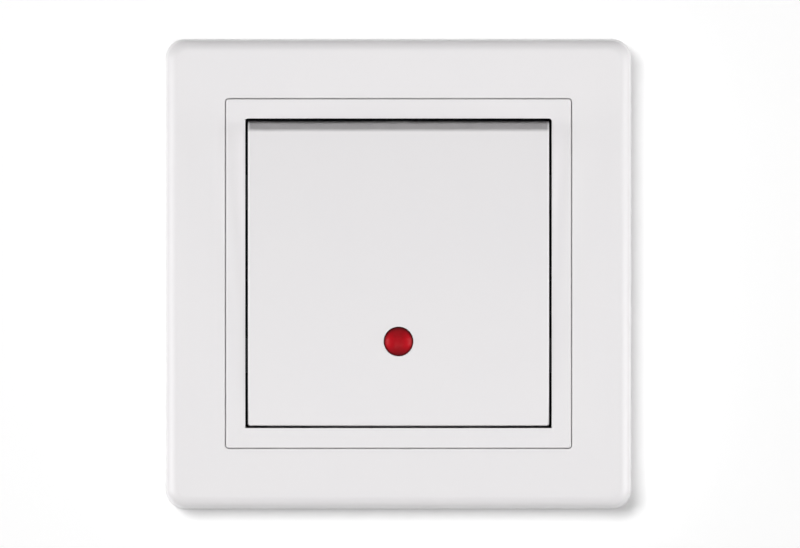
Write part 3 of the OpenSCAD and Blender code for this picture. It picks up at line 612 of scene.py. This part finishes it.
def makeRedLens(s):
    paint, tree, shader, place = startPaint("redLens")
    middle = tree.nodes.new("ShaderNodeMapping")
    middle.inputs["Rotation"].default_value = (math.radians(-rockerCap["tilt"]), 0, 0)
    tree.links.new(place, middle.inputs["Vector"])
    parts = splitPlace(tree, middle.outputs["Vector"])
    across = addMath(tree, "MULTIPLY", parts["X"], 1 / mm)
    high = addMath(tree, "ADD", addMath(tree, "MULTIPLY", parts["Z"], 1 / mm), rockerCap["lensDrop"])
    away = addMath(tree, "SQRT", addMath(tree, "ADD", addMath(tree, "MULTIPLY", across, across),
                                         addMath(tree, "MULTIPLY", high, high)))
    cloud = addNoise(tree, place, s["cloudScale"])
    red = addBlend(tree, addRange(tree, cloud, s["cloudLow"], s["cloudHigh"]), s["clear"], s["cloudy"])
    # painted light at the sides, painted shade towards the foot and the top, and the darkest painted shade
    # round the edge
    side = addRange(tree, addMath(tree, "ABSOLUTE", across), s["sideLightFrom"], s["sideLightTo"])
    foot = addRange(tree, high, s["footShadeFrom"], s["footShadeTo"], s["footShadeShare"], 0.0)
    top = addRange(tree, high, s["topShadeFrom"], s["topTo"], 0.0, s["topShadeShare"])
    edge = addRange(tree, away, s["edgeShadeFrom"], s["edgeShadeTo"])
    for share, colour in ((side, "side"), (foot, "deep"), (top, "deep"), (edge, "edge")):
        red = addBlend(tree, share, red, s[colour])
    tree.links.new(red, shader.inputs["Base Color"])
    tree.links.new(addRange(tree, cloud, 0.0, 1.0, s["smooth"], s["dull"]), shader.inputs["Roughness"])
    shader.inputs["IOR"].default_value = s["bend"]
    shader.inputs["Specular IOR Level"].default_value = s["gloss"]
    return paint


def makeLens(s):
    face = rockerCap["pivot"] + rockerCap["rise"]
    under = face - rockerCap["wall"]
    middle = (0, -rockerCap["lensDrop"], under - s["foot"] / 2)
    piece = addRod("indicatorLens", s["radius"] + s["lip"], s["foot"], middle)
    pickParts(piece, "FACE", facesOut)
    bpy.ops.mesh.inset(thickness=s["lip"] * mm)
    bpy.ops.mesh.extrude_region_move(TRANSFORM_OT_translate={"value": onWall(0, 0, face - s["sink"] - under)})
    top, steps = s["radius"] - s["shoulder"], s["shoulderSteps"]
    for k in range(1, steps + 1):                      # rounded shoulder up to the foot of the dome
        a, b = math.radians(90 * (k - 1) / steps), math.radians(90 * k / steps)
        bpy.ops.mesh.inset(thickness=s["shoulder"] * (math.cos(a) - math.cos(b)) * mm,
                           depth=s["sink"] * (math.sin(b) - math.sin(a)) * mm)
    ball = (top ** 2 + s["dome"] ** 2) / (2 * s["dome"])
    radii = [top * (1 - k / s["rings"]) for k in range(s["rings"])]
    for wide, narrow in zip(radii, radii[1:]):
        lift = math.sqrt(ball ** 2 - narrow ** 2) - math.sqrt(ball ** 2 - wide ** 2)
        bpy.ops.mesh.inset(thickness=(wide - narrow) * mm, depth=lift * mm)
    bpy.ops.mesh.poke()
    closeEdit()
    turnWithRocker(piece, rockerCap)
    finishPiece(piece, "rocker", "indicator_lens", makeRedLens(redLens))


makeLens(lens)
print("lens made")


# flanks are heights within one pitch: off the root, onto the crest, off the crest, back at the root
clawScrew = dict(at=24, crest=1.45, root=1.16, pitch=0.5, flanks=(0.08, 0.23, 0.29, 0.44), tip=-24.5,
                 threadTop=-0.5, threadSink=0.2, steps=20, tipChamfer=0.5, tipPlay=0.05,
                 shankTop=1.6, shankSides=40,
                 head=2.4, headSides=64, headLow=1.2, headHigh=3.1, slot=0.8, slotReach=4, slotLow=2.15,
                 softEdge=0.3, edgeSteps=4, softSlot=0.08, slotSteps=2)


# one pitch of the thread is drawn point by point and wound up the shank
def windThread(s):
    clearSelection()
    bpy.ops.mesh.primitive_plane_add(size=1 * mm)
    thread = bpy.context.object
    openWhole(thread)
    bpy.ops.mesh.select_mode(type="VERT")
    bpy.ops.mesh.merge(type="CENTER")
    bpy.ops.mesh.select_all(action="SELECT")
    root, crest, flanks, low = s["root"], s["crest"], s["flanks"], s["tip"] - s["pitch"]
    outline = list(zip((root, root, crest, crest, root, root), (0, *flanks, s["pitch"])))
    bpy.ops.transform.translate(value=(root * mm, 0, low * mm))
    for before, after in zip(outline, outline[1:]):
        step = [(q - p) * mm for p, q in zip(before, after)]
        bpy.ops.mesh.extrude_region_move(TRANSFORM_OT_translate={"value": (step[0], 0, step[1])})
    closeEdit()
    windUp(thread, s["pitch"], round((s["threadTop"] - low) / s["pitch"]), s["steps"])
    thread.rotation_euler = outward
    return settle("thread")


def makeClawScrew(s):
    low, high, tip, top = s["threadTop"] - s["threadSink"], s["shankTop"], s["tip"], s["headHigh"]
    shank = addRod("clawScrewLeft", s["crest"], high - low, (0, 0, (low + high) / 2), sides=s["shankSides"])
    middle = (0, 0, (s["threadTop"] + tip) / 2)
    trim = addRod("trim", s["crest"] + s["tipPlay"], s["threadTop"] - tip, middle, sides=s["shankSides"])
    roundEdges(trim, lambda e: atDepth(e, tip), s["tipChamfer"], 1)
    thread = windThread(s)
    combine(thread, trim, "INTERSECT")
    weld(shank, thread)
    middle = (0, 0, (top + s["headLow"]) / 2)
    head = addRod("head", s["head"], top - s["headLow"], middle, sides=s["headSides"])
    roundEdges(head, lambda e: atDepth(e, top), s["softEdge"], s["edgeSteps"])
    half, reach = s["slot"] / 2, s["slotReach"]
    cut(head, addBlock("slot", (-half, -reach, s["slotLow"]), (half, reach, top + spare)))
    roundEdges(head, lambda e: sharp(e) and atDepth(e, top), s["softSlot"], s["slotSteps"])
    weld(shank, head)
    activate(shank)
    bpy.ops.object.duplicate()
    for piece, side, word in ((shank, -1, "Left"), (bpy.context.object, 1, "Right")):
        activate(piece)
        piece.location = onWall(side * s["at"], 0, 0)
        settle("clawScrew" + word)
        finishPiece(piece, word.lower() + "_screw", "claw_screw_" + word.lower(), screwZincGapShade)


makeClawScrew(clawScrew)
print("claw screws made")


brokenEdge = dict(steps=2, sharpFrom=40, flatTo=1)
softened = {
    "support_plate": dict(body="switch", paint=plateZinc, slot="zinc_steel", edge=0.12),
    "base_housing": dict(body="switch", paint=basePlastic, slot="base_plastic", edge=0.25),
    "base_back": dict(body="switch", paint=basePlastic, slot="base_plastic", edge=0.25),
    "terminal_screws": dict(body="switch", paint=zincSteel, slot="zinc_steel", edge=0.15),
    "claw_left": dict(body="left_claw", paint=zincSteel, slot="zinc_steel", edge=0.1),
    "claw_right": dict(body="right_claw", paint=zincSteel, slot="zinc_steel", edge=0.1),
    "claw_nut_left": dict(body="left_nut", paint=zincSteel, slot="zinc_steel", edge=0.25),
    "claw_nut_right": dict(body="right_nut", paint=zincSteel, slot="zinc_steel", edge=0.25),
}


# a merged copy of a solid with its stamped or moulded edges broken
def softenNode(node, s, edges):
    activate(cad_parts[node])
    bpy.ops.object.duplicate()
    piece = bpy.context.object
    piece.parent = None
    first, *others = node.split("_")
    piece.name = first + "".join(word.title() for word in others)
    for key in list(piece.keys()):
        del piece[key]
    openWhole(piece)
    bpy.ops.mesh.remove_doubles(threshold=mergeGap)
    bpy.ops.mesh.dissolve_limited(angle_limit=math.radians(edges["flatTo"]))
    closeEdit()
    runModifier(piece, "BEVEL", width=s["edge"] * mm, segments=edges["steps"], limit_method="ANGLE",
                angle_limit=math.radians(edges["sharpFrom"]))
    finishPiece(piece, s["body"], node, s["paint"])


for node, sizes in softened.items():
    softenNode(node, sizes, brokenEdge)
print("rear pieces made")


plungerSpring = dict(coil=1.55, wire=0.25, sides=12, turns=5, steps=28, low=-2.95, length=6.3, stroke=0.8)


# the coil is wound from the round section of its wire
def makePlungerSpring(s):
    pivot, tip, wire, length = rockerCap["pivot"], math.radians(rockerCap["tilt"]), s["wire"], s["length"]
    clearSelection()
    bpy.ops.mesh.primitive_circle_add(vertices=s["sides"], radius=wire * mm, rotation=outward,
                                      location=(s["coil"] * mm, 0, wire * mm))
    piece = settle("plungerSpring")
    windUp(piece, (length - 2 * wire) / s["turns"], s["turns"], s["steps"])
    piece.rotation_euler = outward
    piece.location = onWall(0, 0, pivot + s["low"])
    settle(piece.name)
    turnWithRocker(piece, rockerCap)
    finishPiece(piece, "rocker", "plunger_spring", zincSteel)
    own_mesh(piece)


makePlungerSpring(plungerSpring)
print("spring made")


carried = {
    "front_cover": innerPlastic, "rocker_cradle": innerPlastic, "lamp_holder": innerPlastic,
    "terminal_barriers": basePlastic, "plunger": basePlastic,
    "housing_screws": zincSteel, "lamp_electrodes": zincSteel, "lamp_leads": zincSteel,
    "line_terminal": brassStrip, "load_terminal": brassStrip, "line_clamp": brassStrip,
    "load_clamp": brassStrip, "contact_rocker": brassStrip,
    "fixed_contact": silverContact, "moving_contact": silverContact,
}
lampGlass = dict(clear=(0.93, 0.95, 0.95, 1), hazy=(0.88, 0.92, 0.93, 1), hazeScale=1200.0, hazeDetail=3.0,
                 hazeLow=0.3, hazeHigh=0.7, smooth=0.02, dull=0.09, bend=1.5)


def makeLampGlass(s):
    paint, tree, shader, place = startPaint("lampGlass")
    haze = addNoise(tree, place, s["hazeScale"], s["hazeDetail"])
    rough = addRange(tree, haze, s["hazeLow"], s["hazeHigh"], s["smooth"], s["dull"])
    tree.links.new(rough, shader.inputs["Roughness"])
    tree.links.new(addBlend(tree, haze, s["clear"], s["hazy"]), shader.inputs["Base Color"])
    shader.inputs["Transmission Weight"].default_value = 1.0
    shader.inputs["IOR"].default_value = s["bend"]
    return paint


# each stripe has its start and end, as shares of the body's length, and its colour
resistorBody = dict(low=6, high=11, tan=(0.55, 0.40, 0.22, 1), stripes=[
    (0.14, 0.22, (0.16, 0.05, 0.02, 1)), (0.36, 0.44, (0.02, 0.02, 0.02, 1)),
    (0.54, 0.62, (0.62, 0.45, 0.03, 1)), (0.8, 0.88, (0.5, 0.36, 0.1, 1))],
    speckleScale=4000.0, smooth=0.3, dull=0.45, bump=0.1, bumpDepth=0.02)


def makeResistorBody(s):
    paint, tree, shader, place = startPaint("resistorBody")
    along = addRange(tree, splitPlace(tree, place)["Y"], s["low"] * mm, s["high"] * mm)
    ramp = tree.nodes.new("ShaderNodeValToRGB")
    ramp.color_ramp.interpolation = "CONSTANT"
    for start, end, colour in s["stripes"]:
        ramp.color_ramp.elements.new(start).color = colour
        ramp.color_ramp.elements.new(end).color = s["tan"]
    ramp.color_ramp.elements[0].color = s["tan"]
    ramp.color_ramp.elements[-1].color = s["tan"]
    tree.links.new(along, ramp.inputs["Fac"])
    tree.links.new(ramp.outputs["Color"], shader.inputs["Base Color"])
    speckle = addNoise(tree, place, s["speckleScale"])
    tree.links.new(addRange(tree, speckle, 0.0, 1.0, s["smooth"], s["dull"]), shader.inputs["Roughness"])
    addBump(tree, shader, speckle, s["bump"], s["bumpDepth"])
    return paint


carried["neon_lamp"] = makeLampGlass(lampGlass)
carried["resistor"] = makeResistorBody(resistorBody)
for node, paint in carried.items():
    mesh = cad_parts[node].data
    mesh.materials.clear()
    mesh.materials.append(paint)
print("inner pieces finished")


wallStage = dict(half=1500, behind=0.02, openX=39.95, openY=40.3, corner=3.4, cornerSteps=8,
                 slotAt=30, slotLong=5.9, slotWide=3.4, slotCorner=1.65, slotSteps=4,
                 colour=(0.9, 0.9, 0.9, 1), glow=0.11)


# 1 for what the camera sees, straight or in a reflection or through glass
def seenRay(tree):
    ray = tree.nodes.new("ShaderNodeLightPath")
    return addMath(tree, "MAXIMUM", ray.outputs["Is Camera Ray"],
                   addMath(tree, "MAXIMUM", ray.outputs["Is Glossy Ray"], ray.outputs["Is Transmission Ray"]))


def makeWallPaint(s):
    paint = bpy.data.materials.new("wallPaint")
    paint.use_nodes = True
    tree = paint.node_tree
    shader = tree.nodes["Principled BSDF"]
    shader.inputs["Base Color"].default_value = s["colour"]
    shader.inputs["Roughness"].default_value = 1.0
    shader.inputs["Specular IOR Level"].default_value = 0.0
    shader.inputs["Emission Color"].default_value = (1, 1, 1, 1)
    glow = addRange(tree, seenRay(tree), 0.0, 1.0, 0.0, s["glow"])
    tree.links.new(glow, shader.inputs["Emission Strength"])
    clear = tree.nodes.new("ShaderNodeBsdfTransparent")
    mix = tree.nodes.new("ShaderNodeMixShader")
    tree.links.new(tree.nodes.new("ShaderNodeNewGeometry").outputs["Backfacing"], mix.inputs["Fac"])
    tree.links.new(shader.outputs[0], mix.inputs[1])
    tree.links.new(clear.outputs[0], mix.inputs[2])
    tree.links.new(mix.outputs[0], tree.nodes["Material Output"].inputs["Surface"])
    return paint


# the wall shows only its front and is open behind the frame, so views from behind look through it
def makeWall(s):
    clearSelection()
    bpy.ops.mesh.primitive_plane_add(size=2 * s["half"] * mm, location=onWall(0, 0, -s["behind"]),
                                     rotation=outward)
    wall = settle("wallStage")
    pickParts(wall, "FACE", lambda face: True)
    bpy.ops.mesh.inset(thickness=(s["half"] - s["openX"]) * mm)
    bpy.ops.transform.resize(value=(1, 1, s["openY"] / s["openX"]), center_override=(0, 0, 0))
    bpy.ops.mesh.bevel(offset=s["corner"] * mm, segments=s["cornerSteps"], affect="VERTICES")
    pickParts(wall, "FACE", lambda face: face.calc_center_median().length < 1 * mm)    # the middle one
    bpy.ops.mesh.delete(type="FACE")
    for x, y in ((0, 1), (0, -1), (1, 0), (-1, 0)):    # no light comes through the slots of the plate
        place = onWall(x * s["slotAt"], y * s["slotAt"], -s["behind"])
        wide, high = (s["slotLong"], s["slotWide"]) if x else (s["slotWide"], s["slotLong"])
        bpy.ops.mesh.primitive_plane_add(size=1 * mm, location=place, rotation=outward)
        bpy.ops.transform.resize(value=(wide, 1, high), center_override=place)
        bpy.ops.mesh.bevel(offset=s["slotCorner"] * mm, segments=s["slotSteps"], affect="VERTICES")
    closeEdit()
    wall.data.materials.append(makeWallPaint(s))
    return wall


studio = dict(
    skyGlow=0.04,
    lamps=[
        dict(name="leftBox", at=(-531, -97, 446), size=(240, 300), power=1.05, lights="switch", shine=True),
        dict(name="rightBox", at=(531, -97, 446), size=(240, 300), power=1.05, lights="switch", shine=True),
        dict(name="leftStrip", at=(-683, -97, 120), size=(240, 300), power=1.6, lights="switch", shine=True),
        dict(name="rightStrip", at=(683, -97, 120), size=(240, 300), power=1.6, lights="switch", shine=True),
        dict(name="frameFill", at=(0, 49, 698), size=(420, 300), power=2.9, lights="facing", shine=False),
        dict(name="rockerFill", at=(0, -285, 639), size=(420, 200), power=3.05, lights="rocker", shine=False),
        dict(name="keyLamp", at=(-384, 297, 1733), size=(640, 520), power=24.5, lights="wall", shine=True),
        dict(name="wallFill", at=(311, -157, 1766), size=(560, 560), power=7.2, lights="wall", shine=True),
        dict(name="rearBox", at=(300, 350, -700), size=(500, 500), power=2.2, lights="back", shine=True),
        dict(name="rearFill", at=(-380, -150, -650), size=(400, 400), power=1.2, lights="back", shine=True),
    ])


# a lamp is for the wall, the switch without its claws, the rocker, the frame and ring, or the back
def makeGroups(wall):
    rocking = ["rockerCap", "indicatorLens"]
    inFront = rocking + ["clipRing", "front_cover", "rocker_cradle"]
    gripping = [name + side for name in ("claw", "clawNut", "clawScrew") for side in ("Left", "Right")]
    kinds = {"wall": ("INCLUDE", [wall.name]), "switch": ("EXCLUDE", [wall.name] + gripping),
             "rocker": ("INCLUDE", rocking), "facing": ("INCLUDE", ["outerFrame", "clipRing"]),
             "back": ("EXCLUDE", [wall.name] + inFront)}
    groups = {}
    for kind, (state, names) in kinds.items():
        groups[kind] = bpy.data.collections.new(kind + "Light")
        for name in names:
            groups[kind].objects.link(bpy.data.objects[name])
        for entry in groups[kind].collection_objects:
            entry.light_linking.link_state = state
    return groups


def makeStudio(s, wall):
    groups = makeGroups(wall)
    for lamp in s["lamps"]:
        data = bpy.data.lights.new(lamp["name"], "AREA")
        data.shape = "RECTANGLE"
        data.size, data.size_y = lamp["size"][0] * mm, lamp["size"][1] * mm
        data.energy = lamp["power"]
        holder = bpy.data.objects.new(lamp["name"], data)
        bpy.context.scene.collection.objects.link(holder)
        holder.location = onWall(*lamp["at"])
        holder.rotation_euler = (-holder.location).to_track_quat("-Z", "Y").to_euler()
        holder.visible_glossy = lamp["shine"]
        holder.light_linking.receiver_collection = groups[lamp["lights"]]
    world = bpy.data.worlds.new("studioWorld")
    bpy.context.scene.world = world
    world.use_nodes = True
    tree = world.node_tree
    sky = tree.nodes["Background"]
    sky.inputs["Color"].default_value = (1, 1, 1, 1)
    tree.links.new(addRange(tree, seenRay(tree), 0.0, 1.0, s["skyGlow"], 1.0), sky.inputs["Strength"])


makeStudio(studio, makeWall(wallStage))


photoView = dict(across=137.34, right=0.2575, away=400, upward=0.5, near=10, far=10000)


def makeCamera(s):
    data = bpy.data.cameras.new("photoCamera")
    data.type = "ORTHO"
    data.ortho_scale = s["across"] * mm
    data.clip_start, data.clip_end = s["near"] * mm, s["far"] * mm
    camera = bpy.data.objects.new("photoCamera", data)
    bpy.context.scene.collection.objects.link(camera)
    tip = math.radians(s["upward"])
    camera.location = onWall(s["right"], -s["away"] * math.sin(tip), s["away"] * math.cos(tip))
    camera.rotation_euler = (math.pi / 2 + tip, 0, 0)
    bpy.context.scene.camera = camera


makeCamera(photoView)
print("stage, lamps and camera placed")
